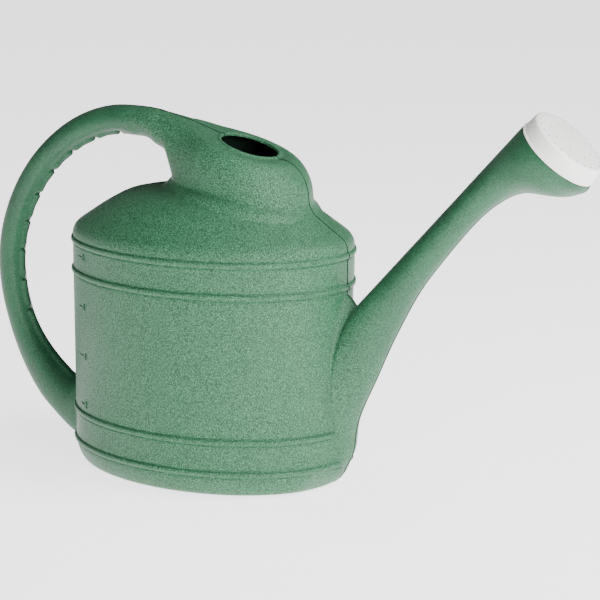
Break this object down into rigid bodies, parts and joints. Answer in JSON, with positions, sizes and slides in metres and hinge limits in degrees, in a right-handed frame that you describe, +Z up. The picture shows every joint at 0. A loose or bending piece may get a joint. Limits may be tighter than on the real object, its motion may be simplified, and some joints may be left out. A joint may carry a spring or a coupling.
{
  "type": "watering can",
  "caption": "Oval-tank plastic watering can with a filler hood that runs into a looped hollow handle, a long flared spout and a pierced rose that pulls off.",
  "frame": {"origin": "middle of the oval tank's flat underside, on the ground", "axes": "+Z up; +X towards the spout and the rose; +Y to the can's left, square to the mould's parting plane, which is Y = 0"},
  "size_m": [0.5979, 0.1988, 0.352],
  "materials": {
    "green_body": "blow-moulded, pebbled",
    "white_rose": "injection-moulded, satin"
  },
  "bodies": {
    "can": {"tank_base": "green_body", "tank_wall": "green_body", "tank_shoulder": "green_body", "level_marks": "green_body", "filler_hood": "green_body", "filler_rim": "green_body", "handle_upper": "green_body", "handle_lower": "green_body", "handle_foot": "green_body", "spout_root": "green_body", "spout_lower": "green_body", "spout_upper": "green_body", "spout_head": "green_body", "spout_seat": "green_body"},
    "rose_cap": {"rose": "white_rose"}
  },
  "joints": [
    {"name": "rose_pull_off", "type": "slide", "parent": "can", "child": "rose_cap", "axis": [0.6441, 0, 0.7649], "range_m": [0, 0.06]}
  ]
}
